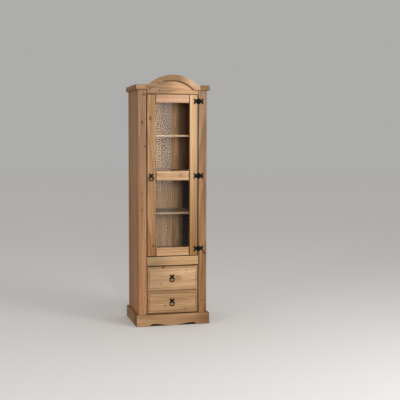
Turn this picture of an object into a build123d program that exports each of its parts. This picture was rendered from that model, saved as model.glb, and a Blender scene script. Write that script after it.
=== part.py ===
from build123d import *
import os
from math import sqrt

# A tall pine display cabinet: one glazed door over two drawers, with an arched cornice.
# Millimetres. X runs to the right, Y to the wall and Z up. The origin is on the floor
# under the middle of the cabinet, so its front faces -Y.
os.makedirs("parts", exist_ok=True)

# Carcass
carcass_width = 516.0
carcass_depth = 412.0
post_width = 61.0
post_thickness = 22.0
side_thickness = 18.0
panel_thickness = 18.0
housing_depth = 6.0
edge_radius = 2.5
small_edge_radius = 1.25
reveal = 3.0

# Heights of what is stacked between the posts, from the floor up
plinth_height = 85.0
base_rail_show = 2.5
lower_drawer_height = 168.0
upper_drawer_height = 185.5
drawer_rail_height = 64.5
door_height = 1192.0
pediment_show = 27.5
cornice_height = 36.5
arch_rise = 73.5

# Plinth and cornice boards, nailed round the outside of the carcass
trim_thickness = 18.0
scallop_half_span = 196.0
scallop_hump_half_span = 149.0
scallop_hump_rise = 17.5
scallop_middle_rise = 2.0
arch_half_span = 204.0
arch_foot_radius = 55.0
arch_band_depth = 39.0
arch_inner_foot_radius = 18.0
pediment_inset = 2.0
pediment_lap = 14.0
base_rail_clearance = 24.0
base_panel_drop = 7.5

# Back of tongued and grooved boards
back_thickness = 9.0
back_rebate = 10.0
back_bottom = 30.0
back_board_count = 6
tongue_length = 4.5
tongue_thickness = 3.0
groove_clearance = 0.3
board_chamfer = 1.5

# Door
door_thickness = 20.0
stile_width = 66.0
top_rail_height = 62.0
middle_rail_height = 67.5
bottom_rail_height = 63.5
middle_rail_rise = 561.5
glass_lip = 8.0
glass_rebate = 8.0
glass_thickness = 4.0
glass_clearance = 1.0
bead_gap = 0.2
tenon_length = 22.0
tenon_thickness = 7.0
tenon_shoulder = 11.0
tenon_clearance = 0.2

# Floor of the glazed part and its shelves
floor_above_door_bottom = 22.5
shelf_thickness = 15.0
shelf_rises = (299.0, 607.0, 873.0)
shelf_names = ("lower", "middle", "upper")
shelf_setback = 22.0
shelf_back_gap = 2.0
shelf_side_gap = 1.0
shelf_pin_radius = 2.5
shelf_pin_collar_radius = 4.0
shelf_pin_collar_length = 1.5
shelf_pin_collar_drop = 2.0
shelf_pin_reach = 9.0
shelf_pin_depth = 8.0
shelf_pin_inset = 45.0
pin_seat_gap = 0.1
pin_fit = 0.1

# Drawers
drawer_front_thickness = 20.0
bevel_width = 21.0
bevel_drop = 4.5
field_step = 1.5
field_round = 0.9
drawer_side_thickness = 12.0
drawer_side_rise = 6.0
drawer_side_drop = 16.0
drawer_rear_gap = 10.0
drawer_bottom_thickness = 5.0
drawer_bottom_rise = 8.0
drawer_bottom_tongue = 5.0
drawer_bottom_gap = 0.2
tail_length = 7.0
tail_half_width = 9.0
tail_flare = 1.5
tail_count = 3
runner_ledge = 10.0
runner_guide_rise = 18.0
runner_gap = 0.3
guide_gap = 1.0

# Ring pulls
pull_arm_reach = 17.0
pull_arm_width = 10.0
pull_waist = 9.0
pull_side_waist = 7.5
pull_plate_thickness = 2.0
pull_rise = 7.5
drawer_pull_left = 5.0
ring_outer_diameter = 38.5
ring_wire_radius = 3.6
eye_bore_radius = 4.2
eye_wire_radius = 1.6
eye_sink = 0.9
eye_drop = 3.5
pull_shank_radius = 2.0
pull_shank_fit = 0.1
pull_nut_radius = 5.0
pull_nut_thickness = 1.6

# Butterfly hinges
bottom_hinge_rise = 51.0
middle_hinge_rise = 31.5
top_hinge_drop = 50.0
hinge_reach = 36.0
hinge_half_height = 20.0
hinge_arm_tip = 11.0
hinge_arm_end = 13.0
hinge_notch = 30.0
hinge_waist_reach = 21.0
hinge_waist_half_height = 9.5
leaf_thickness = 2.0
leaf_gap = 0.6
pin_standoff = 7.0
dome_radius = 21.0
knuckle_radius = 5.5
knuckle_clearance = 0.3
barrel_half_height = 14.0
middle_knuckle_half_height = 6.0
knuckle_gap = 0.25
pin_radius = 2.0
hinge_pin_fit = 0.06
finial_radius = 3.0
finial_sink = 0.6
screw_spread = 29.0
screw_half_rise = 12.5
screw_radius = 1.5
screw_length = 14.0
screw_head_radius = 2.8
screw_head_height = 1.5
screw_head_round = 0.9
screw_fit = 0.05

# Magnetic catch inside the foot of the door
catch_width = 40.0
catch_height = 14.0
catch_depth = 22.0
catch_gap = 0.3
strike_thickness = 1.2
catch_from_stile = 33.0

# Places worked out from the sizes above
half_width = carcass_width / 2
outer_half = half_width + trim_thickness
front_y = trim_thickness - (carcass_depth + trim_thickness) / 2
back_y = front_y + carcass_depth
trim_front_y = front_y - trim_thickness
post_back_y = front_y + post_thickness
back_inner_y = back_y - back_thickness
opening_half = half_width - post_width
inner_half = half_width - side_thickness

base_rail_top = plinth_height + base_rail_show
base_panel_top = base_rail_top - base_panel_drop
lower_drawer_bottom = base_rail_top + reveal
upper_drawer_bottom = lower_drawer_bottom + lower_drawer_height + reveal
drawer_rail_bottom = upper_drawer_bottom + upper_drawer_height + reveal
door_bottom = drawer_rail_bottom + drawer_rail_height + reveal
door_top = door_bottom + door_height
pediment_bottom = door_top + reveal
cornice_bottom = pediment_bottom + pediment_show
cornice_top = cornice_bottom + cornice_height
crown_top = cornice_top + arch_rise

door_half = opening_half - reveal
door_back_y = front_y + door_thickness
glass_half = door_half - stile_width
lip_back_y = front_y + glass_lip
glass_back_y = lip_back_y + glass_thickness
middle_rail_bottom = door_bottom + middle_rail_rise
middle_rail_top = middle_rail_bottom + middle_rail_height
glass_openings = {
    "lower": (door_bottom + bottom_rail_height, middle_rail_bottom),
    "upper": (middle_rail_top, door_top - top_rail_height),
}

floor_top = door_bottom + floor_above_door_bottom
shelf_tops = [floor_top + rise for rise in shelf_rises]
shelf_front_y = post_back_y + shelf_setback
shelf_back_y = back_inner_y - shelf_back_gap
shelf_pin_rows = (shelf_front_y + shelf_pin_inset, shelf_back_y - shelf_pin_inset)

pin_x = door_half + reveal / 2
pin_y = front_y - pin_standoff
hinge_heights = [
    door_bottom + bottom_hinge_rise,
    middle_rail_bottom + middle_hinge_rise,
    door_top - top_hinge_drop,
]
hinge_points = [(pin_x, pin_y, height) for height in hinge_heights]
post_knuckles = (
    (-barrel_half_height, -middle_knuckle_half_height),
    (middle_knuckle_half_height, barrel_half_height),
)
door_knuckles = (
    (knuckle_gap - middle_knuckle_half_height, middle_knuckle_half_height - knuckle_gap),
)

ring_major_radius = ring_outer_diameter / 2 - ring_wire_radius
eye_major_radius = eye_bore_radius + eye_wire_radius
eye_y = front_y - pull_plate_thickness - eye_major_radius - eye_wire_radius + eye_sink
stile_middle = door_half - stile_width / 2
door_pull_z = (middle_rail_bottom + middle_rail_top) / 2


def block(x, y, z, mode=Mode.ADD):
    """A box given by its (low, high) limits along each axis."""
    middle = ((x[0] + x[1]) / 2, (y[0] + y[1]) / 2, (z[0] + z[1]) / 2)
    with Locations(middle):
        Box(x[1] - x[0], y[1] - y[0], z[1] - z[0], mode=mode)


def rod(axis, centre, low, high, radius, mode=Mode.ADD):
    """A round rod along an axis, from low to high measured on that axis."""
    length = high - low
    middle = (low + high) / 2
    if axis == "x":
        place = Location((middle, centre[0], centre[1]), (0, 90, 0))
    elif axis == "y":
        place = Location((centre[0], middle, centre[1]), (90, 0, 0))
    else:
        place = Location((centre[0], centre[1], middle))
    with Locations(place):
        Cylinder(radius, length, mode=mode)


def keep(piece, name):
    """Labels a finished piece and writes its file."""
    piece.part.label = name
    export_step(piece.part, f"parts/{name}.step")


def sides(side, low, high):
    """The limits of a span on the right (side 1) or mirrored to the left (side -1)."""
    return (low, high) if side > 0 else (-high, -low)


def both_sides():
    """The names and signs of the two sides."""
    return (("left", -1), ("right", 1))


# Side panels: glued-up pine, housed for the panels and rebated for the back
housed_panels = {
    "base_panel": (base_panel_top - panel_thickness, base_panel_top),
    "display_floor": (floor_top - panel_thickness, floor_top),
    "top_panel": (cornice_top - panel_thickness, cornice_top),
}

for name, side in both_sides():
    with BuildPart() as side_panel:
        block(sides(side, inner_half, half_width), (post_back_y, back_y), (0, cornice_top))
        front_edges = side_panel.faces().sort_by(Axis.Y)[0].edges().filter_by(Axis.Z)
        chamfer(front_edges.sort_by(Axis.X)[-1 if side > 0 else 0], edge_radius)
        for low, high in housed_panels.values():
            housing = sides(side, inner_half, inner_half + housing_depth)
            block(housing, (post_back_y, back_inner_y), (low, high), Mode.SUBTRACT)
        rebate = sides(side, inner_half, inner_half + back_rebate)
        block(rebate, (back_inner_y, back_y), (back_bottom, cornice_top), Mode.SUBTRACT)
        hole = sides(side, inner_half, inner_half + shelf_pin_depth + pin_fit)
        for top in shelf_tops:
            pin_z = top - shelf_thickness - shelf_pin_radius - pin_seat_gap
            for row in shelf_pin_rows:
                radius = shelf_pin_radius + pin_fit
                rod("x", (row, pin_z), *hole, radius, mode=Mode.SUBTRACT)
    keep(side_panel, f"side_panel_{name}")

# Front posts, with eased front edges and pilot holes for the hinge screws
for name, side in both_sides():
    with BuildPart() as front_post:
        block(sides(side, opening_half, half_width), (front_y, post_back_y), (0, cornice_top))
        fillet(front_post.faces().sort_by(Axis.Y)[0].edges().filter_by(Axis.Z), edge_radius)
        if side > 0:
            for height in hinge_heights:
                for rise in (-screw_half_rise, screw_half_rise):
                    centre = (pin_x + screw_spread, height + rise)
                    depth = front_y + screw_length + screw_fit
                    radius = screw_radius + screw_fit
                    rod("y", centre, front_y, depth, radius, mode=Mode.SUBTRACT)
    keep(front_post, f"front_post_{name}")

# Boards across the carcass, let into the housings of the side panels
panel_half = inner_half + housing_depth
for name, (low, high) in housed_panels.items():
    with BuildPart() as panel:
        block((-panel_half, panel_half), (post_back_y, back_inner_y), (low, high))
    keep(panel, name)

# Rails between the posts: one behind the plinth, one between the drawers and the door
rails = {
    "base_rail": (base_rail_clearance, base_rail_top),
    "drawer_rail": (drawer_rail_bottom, drawer_rail_bottom + drawer_rail_height),
}
for name, (low, high) in rails.items():
    with BuildPart() as rail:
        block((-opening_half, opening_half), (front_y, post_back_y), (low, high))
        fillet(rail.faces().sort_by(Axis.Y)[0].edges(), edge_radius)
    keep(rail, name)

# Back boards, each with a tongue on its right edge and a groove in its left edge
back_half = inner_half + back_rebate
back_board_width = 2 * back_half / back_board_count
back_middle_y = (back_inner_y + back_y) / 2
for index in range(back_board_count):
    left = -back_half + index * back_board_width
    right = left + back_board_width
    with BuildPart() as back_board:
        block((left, right), (back_inner_y, back_y), (back_bottom, cornice_top))
        face_edges = back_board.faces().sort_by(Axis.Y)[0].edges().filter_by(Axis.Z)
        chamfer(face_edges, board_chamfer)
        if index < back_board_count - 1:
            tongue_y = (back_middle_y - tongue_thickness / 2, back_middle_y + tongue_thickness / 2)
            block((right, right + tongue_length), tongue_y, (back_bottom, cornice_top))
        if index > 0:
            half_slot = tongue_thickness / 2 + groove_clearance
            slot_y = (back_middle_y - half_slot, back_middle_y + half_slot)
            slot_x = (left, left + tongue_length + groove_clearance)
            block(slot_x, slot_y, (back_bottom, cornice_top), Mode.SUBTRACT)
    keep(back_board, f"back_board_{index + 1}")

# Arch: a large convex arc that runs out into the level cornice in a small hollow at each foot
arch_radius = (arch_half_span**2 + arch_rise**2) / (2 * arch_rise) - arch_foot_radius
arch_centre_z = crown_top - arch_radius
inner_radius = arch_radius - arch_band_depth
inner_rise = crown_top - arch_band_depth - cornice_bottom
inner_reach = 2 * inner_rise * (inner_radius + arch_inner_foot_radius) - inner_rise**2
inner_half_span = sqrt(inner_reach)


def arch_line(half_span, level, radius, foot_radius):
    """One edge of the arch from its left foot over the crown to its right foot."""
    share = radius / (radius + foot_radius)
    join_x = half_span * share
    join_z = arch_centre_z + (level + foot_radius - arch_centre_z) * share
    left_foot = (-half_span, level)
    left_join = (-join_x, join_z)
    right_join = (join_x, join_z)
    right_foot = (half_span, level)
    TangentArc(left_foot, left_join, tangent=(1, 0))
    ThreePointArc(left_join, (0, arch_centre_z + radius), right_join)
    TangentArc(right_foot, right_join, tangent=(-1, 0))


with BuildPart() as cornice_arch:
    with BuildSketch(Plane.XZ.offset(-front_y)):
        with BuildLine():
            arch_line(arch_half_span, cornice_top, arch_radius, arch_foot_radius)
            arch_line(inner_half_span, cornice_bottom, inner_radius, arch_inner_foot_radius)
            for side in (-1, 1):
                Polyline(
                    (side * arch_half_span, cornice_top),
                    (side * arch_half_span, cornice_bottom),
                    (side * inner_half_span, cornice_bottom),
                )
        make_face()
    extrude(amount=trim_thickness)
keep(cornice_arch, "cornice_arch")

for name, side in both_sides():
    with BuildPart() as cornice_block:
        block(
            sides(side, arch_half_span, outer_half),
            (trim_front_y, front_y),
            (cornice_bottom, cornice_top),
        )
        fillet(cornice_block.faces().sort_by(Axis.Y)[0].edges(), small_edge_radius)
    keep(cornice_block, f"cornice_block_{name}")

    with BuildPart() as cornice_return:
        block(
            sides(side, half_width, outer_half), (front_y, back_y), (cornice_bottom, cornice_top)
        )
        long_edges = cornice_return.edges().filter_by(Axis.Y)
        outer = long_edges.group_by(Axis.X)[-1 if side > 0 else 0]
        fillet(outer, small_edge_radius)
    keep(cornice_return, f"cornice_return_{name}")

    with BuildPart() as plinth_side:
        block(sides(side, half_width, outer_half), (front_y, back_y), (0, plinth_height))
        long_edges = plinth_side.edges().filter_by(Axis.Y)
        outer_top = long_edges.group_by(Axis.Z)[-1].sort_by(Axis.X)[-1 if side > 0 else 0]
        fillet(outer_top, edge_radius)
    keep(plinth_side, f"plinth_side_{name}")

# Pediment panel between the posts, whose round top hides behind the arch
with BuildPart() as pediment_panel:
    with BuildSketch(Plane.XZ.offset(-(front_y + pediment_inset))):
        level_top = cornice_bottom + pediment_lap
        with Locations((0, (pediment_bottom + level_top) / 2)):
            Rectangle(2 * opening_half, level_top - pediment_bottom)
        with BuildLine():
            reach = sqrt((inner_radius + pediment_lap) ** 2 - (level_top - arch_centre_z) ** 2)
            crown = (0, arch_centre_z + inner_radius + pediment_lap)
            ThreePointArc((-reach, level_top), crown, (reach, level_top))
            Line((-reach, level_top), (reach, level_top))
        make_face()
    extrude(amount=-(post_thickness - pediment_inset))
    lowest_edges = pediment_panel.edges().filter_by(Axis.X).group_by(Axis.Z)[0]
    fillet(lowest_edges.sort_by(Axis.Y)[0], edge_radius)
keep(pediment_panel, "pediment_panel")


# Plinth front: its lower edge has two humps and a dip between the feet
def s_curve(start, end):
    """Two equal arcs from one level line to another, each tangent to its line."""
    middle = ((start[0] + end[0]) / 2, (start[1] + end[1]) / 2)
    heading = 1 if end[0] > start[0] else -1
    TangentArc(start, middle, tangent=(heading, 0))
    TangentArc(end, middle, tangent=(-heading, 0))


with BuildPart() as plinth_front:
    with BuildSketch(Plane.XZ.offset(-front_y)):
        with BuildLine():
            for side in (-1, 1):
                foot = (side * scallop_half_span, 0)
                hump = (side * scallop_hump_half_span, scallop_hump_rise)
                s_curve(foot, hump)
                s_curve(hump, (0, scallop_middle_rise))
                Line(foot, (side * outer_half, 0))
                Line((side * outer_half, 0), (side * outer_half, plinth_height))
            Line((-outer_half, plinth_height), (outer_half, plinth_height))
        make_face()
    extrude(amount=trim_thickness)
    top_front = plinth_front.edges().filter_by(Axis.X).group_by(Axis.Z)[-1].sort_by(Axis.Y)[0]
    fillet(top_front, edge_radius)
keep(plinth_front, "plinth_front")

# Shelves and the pins they lie on
for name, top in zip(shelf_names, shelf_tops):
    with BuildPart() as shelf:
        shelf_half = inner_half - shelf_side_gap
        block((-shelf_half, shelf_half), (shelf_front_y, shelf_back_y), (top - shelf_thickness, top))
        fillet(shelf.faces().sort_by(Axis.Y)[0].edges().filter_by(Axis.X), small_edge_radius)
    keep(shelf, f"shelf_{name}")

with BuildPart() as shelf_pins:
    for top in shelf_tops:
        pin_z = top - shelf_thickness - shelf_pin_radius - pin_seat_gap
        collar_z = pin_z - shelf_pin_collar_drop
        for row in shelf_pin_rows:
            for _, side in both_sides():
                peg = sides(side, inner_half - shelf_pin_reach, inner_half + shelf_pin_depth)
                collar = sides(side, inner_half - shelf_pin_collar_length, inner_half)
                rod("x", (row, pin_z), *peg, shelf_pin_radius)
                rod("x", (row, collar_z), *collar, shelf_pin_collar_radius)
keep(shelf_pins, "shelf_pins")


# Door: two stiles and three rails with stub tenons, rebated behind for the glass
def tenon_span(low, high, clearance=0.0):
    return (low + tenon_shoulder - clearance, high - tenon_shoulder + clearance)


door_rails = {
    "top": (door_top - top_rail_height, door_top),
    "middle": (middle_rail_bottom, middle_rail_top),
    "bottom": (door_bottom, door_bottom + bottom_rail_height),
}
tenon_middle_y = front_y + door_thickness / 2
rebate_half = glass_half + glass_rebate


def cut_glass_rebates():
    for low, high in glass_openings.values():
        z = (low - glass_rebate, high + glass_rebate)
        block((-rebate_half, rebate_half), (lip_back_y, door_back_y), z, Mode.SUBTRACT)


for name, side in (("lock", -1), ("hinge", 1)):
    with BuildPart() as stile:
        block(sides(side, glass_half, door_half), (front_y, door_back_y), (door_bottom, door_top))
        fillet(stile.faces().sort_by(Axis.Y)[0].edges(), edge_radius)
        cut_glass_rebates()
        for low, high in door_rails.values():
            half = tenon_thickness / 2 + tenon_clearance
            mortise = sides(side, glass_half, glass_half + tenon_length + tenon_clearance)
            y = (tenon_middle_y - half, tenon_middle_y + half)
            block(mortise, y, tenon_span(low, high, tenon_clearance), Mode.SUBTRACT)
        if side > 0:
            for height in hinge_heights:
                for rise in (-screw_half_rise, screw_half_rise):
                    centre = (pin_x - screw_spread, height + rise)
                    depth = front_y + screw_length + screw_fit
                    rod("y", centre, front_y, depth, screw_radius + screw_fit, mode=Mode.SUBTRACT)
        else:
            hole = pull_shank_radius + pull_shank_fit
            centre = (-stile_middle, door_pull_z)
            rod("y", centre, front_y, door_back_y, hole, mode=Mode.SUBTRACT)
    keep(stile, f"door_stile_{name}")

for name, (low, high) in door_rails.items():
    with BuildPart() as door_rail:
        block((-glass_half, glass_half), (front_y, door_back_y), (low, high))
        fillet(door_rail.faces().sort_by(Axis.Y)[0].edges(), edge_radius)
        cut_glass_rebates()
        tenon_half = glass_half + tenon_length
        y = (tenon_middle_y - tenon_thickness / 2, tenon_middle_y + tenon_thickness / 2)
        for side in (-1, 1):
            block(sides(side, glass_half, tenon_half), y, tenon_span(low, high))
    keep(door_rail, f"door_rail_{name}")

for name, (low, high) in glass_openings.items():
    with BuildPart() as glass:
        margin = glass_rebate - glass_clearance
        pane_half = glass_half + margin
        block((-pane_half, pane_half), (lip_back_y, glass_back_y), (low - margin, high + margin))
    keep(glass, f"glass_{name}")

with BuildPart() as glazing_beads:
    for low, high in glass_openings.values():
        outer_low, outer_high = low - glass_rebate, high + glass_rebate
        y = (glass_back_y, door_back_y)
        for side in (-1, 1):
            block(sides(side, glass_half, rebate_half), y, (outer_low, outer_high))
        across = (bead_gap - glass_half, glass_half - bead_gap)
        block(across, y, (outer_low, low))
        block(across, y, (high, outer_high))
keep(glazing_beads, "glazing_beads")


# Butterfly hinges: forked leaves that swell into a dome at the barrel
def hinge_leaf(side, own_knuckles, other_knuckles):
    with BuildPart() as leaf:
        with BuildSketch(Plane.XZ.offset(-pin_standoff)):
            with BuildLine():
                arm = [
                    (0, hinge_waist_half_height),
                    (hinge_waist_reach, hinge_waist_half_height),
                    (hinge_reach - hinge_arm_tip, hinge_half_height),
                    (hinge_reach, hinge_half_height),
                    (hinge_reach, hinge_half_height - hinge_arm_end),
                    (hinge_notch, 0),
                ]
                lower_arm = [(x, -z) for x, z in reversed(arm[:-1])]
                Polyline(*[(side * x, z) for x, z in arm + lower_arm], close=True)
            make_face()
        extrude(amount=leaf_thickness)
        with BuildSketch(Plane.XY):
            with BuildLine():
                cap_radius = (dome_radius**2 + pin_standoff**2) / (2 * pin_standoff)
                shoulder_x = dome_radius / 2
                shoulder_y = cap_radius - sqrt(cap_radius**2 - shoulder_x**2)
                ThreePointArc((0, 0), (shoulder_x, shoulder_y), (dome_radius, pin_standoff))
                Polyline((dome_radius, pin_standoff), (0, pin_standoff), (0, 0))
            make_face()
        revolve(axis=Axis.Y)
        kept = Keep.TOP if side > 0 else Keep.BOTTOM
        split(bisect_by=Plane.YZ.offset(side * leaf_gap / 2), keep=kept)
        for low, high in other_knuckles:
            swept = knuckle_radius + knuckle_clearance
            span = (low - knuckle_gap, high + knuckle_gap)
            rod("z", (0, 0), *span, swept, mode=Mode.SUBTRACT)
        for low, high in own_knuckles:
            rod("z", (0, 0), low, high, knuckle_radius)
        bore = pin_radius + hinge_pin_fit
        rod("z", (0, 0), -hinge_half_height, hinge_half_height, bore, mode=Mode.SUBTRACT)
        for rise in (-screw_half_rise, screw_half_rise):
            hole = screw_radius + 2 * screw_fit
            centre = (side * screw_spread, rise)
            rod("y", centre, 0, pin_standoff, hole, mode=Mode.SUBTRACT)
    return leaf


post_leaf = hinge_leaf(1, post_knuckles, door_knuckles)
door_leaf = hinge_leaf(-1, door_knuckles, post_knuckles)

with BuildPart() as hinge_leaves_post:
    with Locations(*hinge_points):
        add(post_leaf.part)
keep(hinge_leaves_post, "hinge_leaves_post")

with BuildPart() as hinge_leaves_door:
    with Locations(*hinge_points):
        add(door_leaf.part)
keep(hinge_leaves_door, "hinge_leaves_door")

with BuildPart() as hinge_pins:
    for x, y, z in hinge_points:
        rod("z", (x, y), z - barrel_half_height, z + barrel_half_height, pin_radius)
        finial_rise = barrel_half_height + finial_radius - finial_sink
        with Locations((x, y, z - finial_rise), (x, y, z + finial_rise)):
            Sphere(finial_radius)
keep(hinge_pins, "hinge_pins")

# Screws of the hinges, in the wood behind the leaves
for name, side in (("post", 1), ("door", -1)):
    with BuildPart() as hinge_screws:
        for height in hinge_heights:
            for rise in (-screw_half_rise, screw_half_rise):
                centre = (pin_x + side * screw_spread, height + rise)
                leaf_front = front_y - leaf_thickness
                rod("y", centre, leaf_front, front_y + screw_length, screw_radius)
                rod("y", centre, leaf_front - screw_head_height, leaf_front, screw_head_radius)
        rims = hinge_screws.faces().filter_by(Axis.Y).group_by(Axis.Y)[0].edges()
        fillet(rims, screw_head_round)
    keep(hinge_screws, f"hinge_screws_{name}")


# Ring pulls: a cross-shaped plate with an eye, and a ring that hangs in it
def pull_outline():
    quarter = [
        (0, pull_waist),
        (pull_arm_reach - pull_waist, pull_arm_reach),
        (pull_arm_reach, pull_arm_reach),
        (pull_arm_reach, pull_arm_reach - pull_arm_width),
        (pull_side_waist, 0),
    ]
    right = quarter + [(x, -z) for x, z in reversed(quarter[:-1])]
    left = [(-x, z) for x, z in reversed(right[1:-1])]
    return right + left


def pull_plate(x, z, wood_thickness):
    with BuildPart() as plate:
        with BuildSketch(Plane.XZ.offset(-front_y)):
            with BuildLine():
                Polyline(*[(x + u, z + w) for u, w in pull_outline()], close=True)
            make_face()
        extrude(amount=pull_plate_thickness)
        with Locations(Location((x, eye_y, z - eye_drop), (0, 90, 0))):
            Torus(eye_major_radius, eye_wire_radius)
        wood_back = front_y + wood_thickness
        rod("y", (x, z), front_y, wood_back + pull_nut_thickness, pull_shank_radius)
        rod("y", (x, z), wood_back, wood_back + pull_nut_thickness, pull_nut_radius)
    return plate


def pull_ring(x, z):
    with BuildPart() as ring:
        with Locations(Location((x, eye_y, z - eye_drop - ring_major_radius), (90, 0, 0))):
            Torus(ring_major_radius, ring_wire_radius)
    return ring


keep(pull_plate(-stile_middle, door_pull_z, door_thickness), "door_pull_plate")
keep(pull_ring(-stile_middle, door_pull_z), "door_pull_ring")

# Magnetic catch on the display floor, and its strike plate on the foot of the door
catch_x = (
    -glass_half - catch_from_stile - catch_width / 2,
    -glass_half - catch_from_stile + catch_width / 2,
)
strike_y = (door_back_y, door_back_y + strike_thickness)
with BuildPart() as catch_body:
    front = strike_y[1] + catch_gap
    block(catch_x, (front, front + catch_depth), (floor_top, floor_top + catch_height))
    fillet(catch_body.edges().filter_by(Axis.Y).group_by(Axis.Z)[-1], small_edge_radius)
keep(catch_body, "catch_body")

with BuildPart() as catch_plate:
    block(catch_x, strike_y, (floor_top, floor_top + catch_height))
keep(catch_plate, "catch_plate")

# Drawers: a bevelled front, dovetailed sides, a back and a bottom in grooves
box_front_y = front_y + drawer_front_thickness
box_back_y = back_inner_y - drawer_rear_gap
side_inner = door_half - drawer_side_thickness


def tail_heights(low, high):
    pitch = (high - low) / tail_count
    return [low + pitch * (index + 0.5) for index in range(tail_count)]


def make_tails(side, low, high):
    """Dovetails that reach forward from a drawer's side into its front."""
    x = sides(side, side_inner, door_half)
    wide = tail_half_width + tail_flare
    with BuildPart() as tails:
        with BuildSketch(Plane.YZ.offset(x[0])):
            for height in tail_heights(low, high):
                with BuildLine():
                    Polyline(
                        (box_front_y, height - tail_half_width),
                        (box_front_y - tail_length, height - wide),
                        (box_front_y - tail_length, height + wide),
                        (box_front_y, height + tail_half_width),
                        close=True,
                    )
                make_face()
        extrude(amount=x[1] - x[0])
    return tails.part


def make_drawer(name, bottom, height):
    top = bottom + height
    side_z = (bottom + drawer_side_rise, top - drawer_side_drop)
    groove_z = (
        side_z[0] + drawer_bottom_rise,
        side_z[0] + drawer_bottom_rise + drawer_bottom_thickness,
    )
    panel_half = side_inner + drawer_bottom_tongue
    panel_front = box_front_y - drawer_bottom_tongue
    groove_x = (-panel_half - drawer_bottom_gap, panel_half + drawer_bottom_gap)
    groove_y = (panel_front - drawer_bottom_gap, box_back_y)
    middle_z = (bottom + top) / 2
    pull_z = middle_z + pull_rise
    width = 2 * door_half
    side_tails = {side: make_tails(side, *side_z) for side in (-1, 1)}

    with BuildPart() as drawer_front:
        field_foot_y = front_y + field_step
        slab_y = field_foot_y + bevel_drop
        block((-door_half, door_half), (slab_y, box_front_y), (bottom, top))
        with BuildSketch(Plane.XZ.offset(-slab_y)):
            with Locations((0, middle_z)):
                Rectangle(width, height)
        with BuildSketch(Plane.XZ.offset(-field_foot_y)):
            with Locations((0, middle_z)):
                Rectangle(width - 2 * bevel_width, height - 2 * bevel_width)
        loft()
        field_half = door_half - bevel_width
        field_z = (bottom + bevel_width, top - bevel_width)
        block((-field_half, field_half), (front_y, field_foot_y), field_z)
        fillet(drawer_front.faces().sort_by(Axis.Y)[0].edges(), field_round)
        for side in (-1, 1):
            add(side_tails[side], mode=Mode.SUBTRACT)
        block(groove_x, groove_y, groove_z, Mode.SUBTRACT)
        hole = pull_shank_radius + pull_shank_fit
        rod("y", (-drawer_pull_left, pull_z), front_y, box_front_y, hole, mode=Mode.SUBTRACT)
    keep(drawer_front, f"{name}_drawer_front")

    for side_name, side in both_sides():
        with BuildPart() as drawer_side:
            x = sides(side, side_inner, door_half)
            block(x, (box_front_y, box_back_y), side_z)
            block(groove_x, groove_y, groove_z, Mode.SUBTRACT)
            add(side_tails[side])
        keep(drawer_side, f"{name}_drawer_side_{side_name}")

    with BuildPart() as drawer_back:
        back_front_y = box_back_y - drawer_side_thickness
        block((-side_inner, side_inner), (back_front_y, box_back_y), (groove_z[1], side_z[1]))
    keep(drawer_back, f"{name}_drawer_back")

    with BuildPart() as drawer_bottom:
        x = (-panel_half, panel_half)
        z = (groove_z[0], groove_z[1] - drawer_bottom_gap)
        block(x, (panel_front, box_back_y), z)
    keep(drawer_bottom, f"{name}_drawer_bottom")

    plate = pull_plate(-drawer_pull_left, pull_z, drawer_front_thickness)
    keep(plate, f"{name}_drawer_pull_plate")
    keep(pull_ring(-drawer_pull_left, pull_z), f"{name}_drawer_pull_ring")


drawers = {
    "lower": (lower_drawer_bottom, lower_drawer_height),
    "upper": (upper_drawer_bottom, upper_drawer_height),
}
for name, (bottom, height) in drawers.items():
    make_drawer(name, bottom, height)

# Runners: a ledge under each drawer side and a guide beside it
with BuildPart() as drawer_runners:
    for bottom, _ in drawers.values():
        ledge_top = bottom + drawer_side_rise - runner_gap
        for _, side in both_sides():
            y = (post_back_y, back_inner_y)
            block(sides(side, side_inner, inner_half), y, (ledge_top - runner_ledge, ledge_top))
            guide = sides(side, door_half + guide_gap, inner_half)
            block(guide, y, (ledge_top, ledge_top + runner_guide_rise))
keep(drawer_runners, "drawer_runners")
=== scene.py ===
# %% [markdown]
# # A pine display cabinet
# The cabinet stands 1.85 m tall. One glazed door hangs over two drawers, under an arched
# cornice, and black iron hinges and ring pulls sit on waxed pine. The boards are solid and
# square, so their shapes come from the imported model. What Blender adds is the wood itself,
# board by board, the forged look of the iron, the glass, and the screws, nuts and brads.

# %% Load the frame
import math

import bmesh
import bpy
from mathutils import Matrix, Vector


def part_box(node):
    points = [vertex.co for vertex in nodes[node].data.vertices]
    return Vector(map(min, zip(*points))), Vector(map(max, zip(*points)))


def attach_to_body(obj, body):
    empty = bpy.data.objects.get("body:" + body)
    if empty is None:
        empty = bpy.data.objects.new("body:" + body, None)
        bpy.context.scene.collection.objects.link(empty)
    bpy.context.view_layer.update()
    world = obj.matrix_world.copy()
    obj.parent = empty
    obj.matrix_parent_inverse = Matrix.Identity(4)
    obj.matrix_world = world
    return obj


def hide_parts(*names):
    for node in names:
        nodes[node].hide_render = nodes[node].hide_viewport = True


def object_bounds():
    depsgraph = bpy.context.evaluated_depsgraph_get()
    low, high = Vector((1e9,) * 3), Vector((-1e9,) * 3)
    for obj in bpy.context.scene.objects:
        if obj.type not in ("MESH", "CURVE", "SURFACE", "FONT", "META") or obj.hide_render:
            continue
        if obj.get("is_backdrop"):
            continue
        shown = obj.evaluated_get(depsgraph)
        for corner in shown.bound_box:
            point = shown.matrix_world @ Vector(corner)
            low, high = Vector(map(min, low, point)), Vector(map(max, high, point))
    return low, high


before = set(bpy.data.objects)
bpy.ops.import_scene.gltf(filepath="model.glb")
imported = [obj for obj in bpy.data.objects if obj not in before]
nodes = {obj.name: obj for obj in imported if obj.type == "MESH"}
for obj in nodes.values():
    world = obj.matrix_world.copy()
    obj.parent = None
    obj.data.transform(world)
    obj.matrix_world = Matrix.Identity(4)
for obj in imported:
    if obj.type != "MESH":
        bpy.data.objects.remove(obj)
cad_low, cad_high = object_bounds()
scene = bpy.context.scene


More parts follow.
